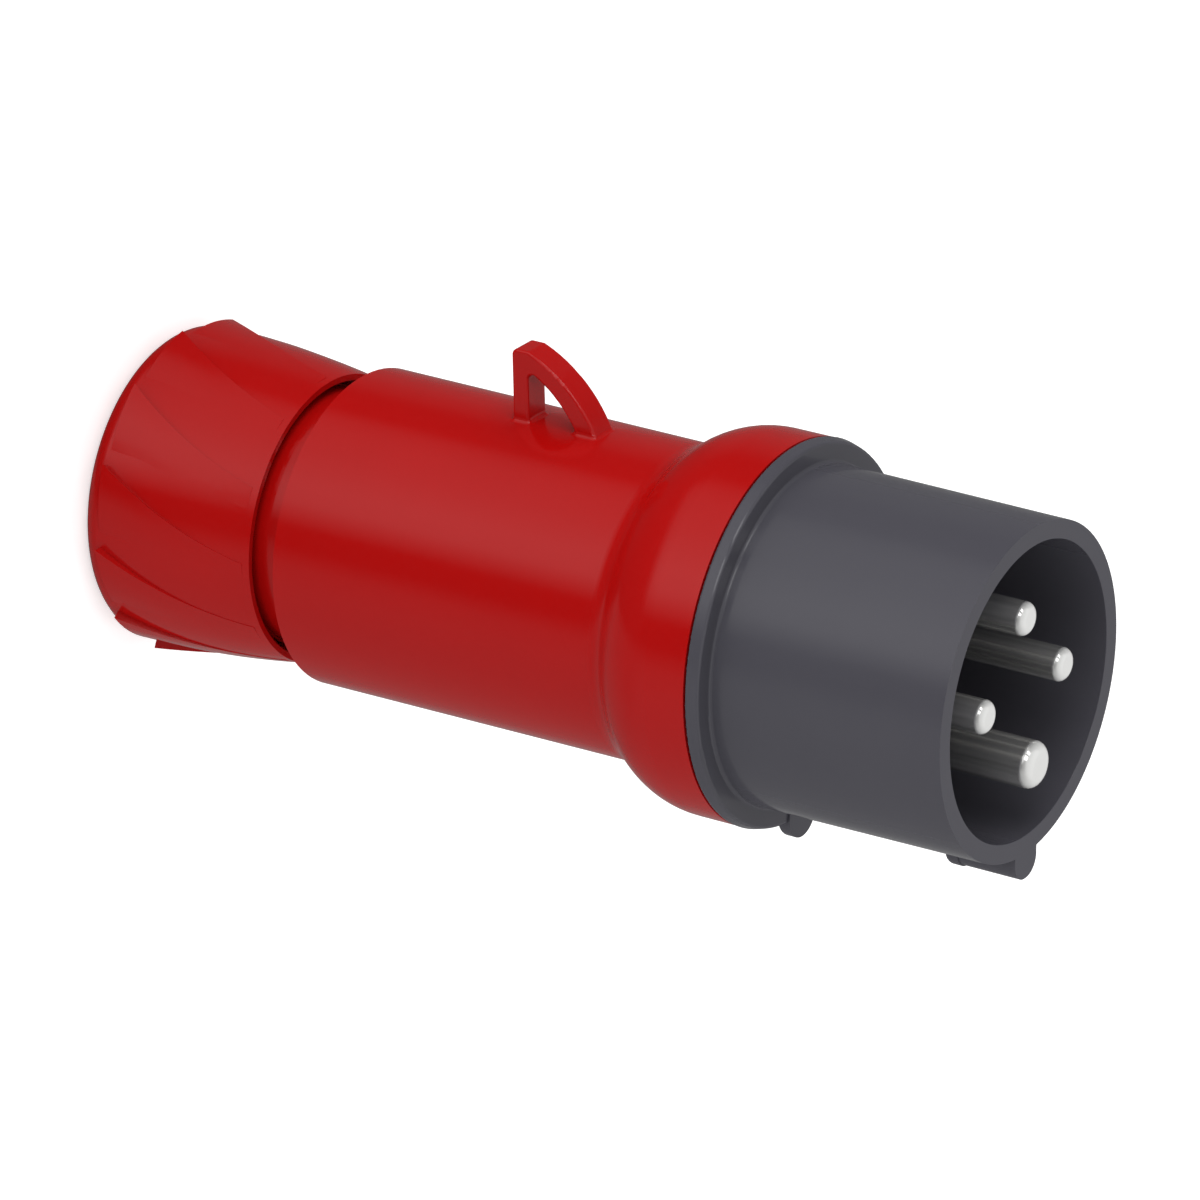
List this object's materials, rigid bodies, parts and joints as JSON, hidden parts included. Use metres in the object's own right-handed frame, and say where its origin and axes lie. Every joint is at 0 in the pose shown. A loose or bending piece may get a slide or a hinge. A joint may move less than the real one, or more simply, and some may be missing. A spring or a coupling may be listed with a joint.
{
  "type": "industrial pin and sleeve plug",
  "caption": "Industrial pin and sleeve plug with contact pins in a keyed grey sleeve, a red body with hanging loop and a ribbed cable gland nut.",
  "frame": {"origin": "centre of the gland nut's end face, where the cable enters and on which the plug stands", "axes": "+Z along the plug towards the mouth of the sleeve, +X towards the key and retaining lug, -X towards the hanging loop"},
  "size_m": [0.0657, 0.057, 0.1483],
  "materials": {
    "red_plastic": "satin moulded polyamide",
    "grey_plastic": "satin moulded polyamide",
    "insert_plastic": "moulded thermoset",
    "plated_brass": "nickel-plated brass, turned",
    "zinc_steel": "zinc-plated screws",
    "seal_rubber": "black rubber"
  },
  "bodies": {
    "rear_shell": {"rear_body": "red_plastic", "grommet": "seal_rubber", "slip_washer": "insert_plastic"},
    "front_end": {"front_housing": "grey_plastic", "pin_carrier": "insert_plastic", "terminal_cover": "insert_plastic", "retaining_ring": "insert_plastic", "phase_pin_1": "plated_brass", "phase_pin_2": "plated_brass", "phase_pin_3": "plated_brass", "earth_pin": "plated_brass", "phase_terminal_screws": "zinc_steel", "earth_terminal_screw": "zinc_steel", "phase_wire_leaves": "zinc_steel", "earth_wire_leaf": "zinc_steel", "carrier_screws": "zinc_steel", "housing_seal": "seal_rubber"},
    "gland_clamp": {"thrust_ring": "insert_plastic", "clamp_cage": "insert_plastic"},
    "gland_nut": {"gland_nut": "red_plastic"}
  },
  "joints": [
    {"name": "bayonet_turn", "type": "hinge", "parent": "rear_shell", "child": "front_end", "pos_m": [0, 0, 0.0985], "axis": [0, 0, 1], "range_deg": [-30, 0]},
    {"name": "gland_travel", "type": "slide", "parent": "rear_shell", "child": "gland_clamp", "axis": [0, 0, 1], "range_m": [-0.01, 0.0045]},
    {"name": "nut_turn", "type": "hinge", "parent": "gland_clamp", "child": "gland_nut", "pos_m": [0, 0, 0.015], "axis": [0, 0, 1], "range_deg": [-1200, 540]}
  ],
  "couplings": [
    {"joint": "nut_turn", "follows": "gland_travel", "rad_per_m": 2094.4}
  ]
}
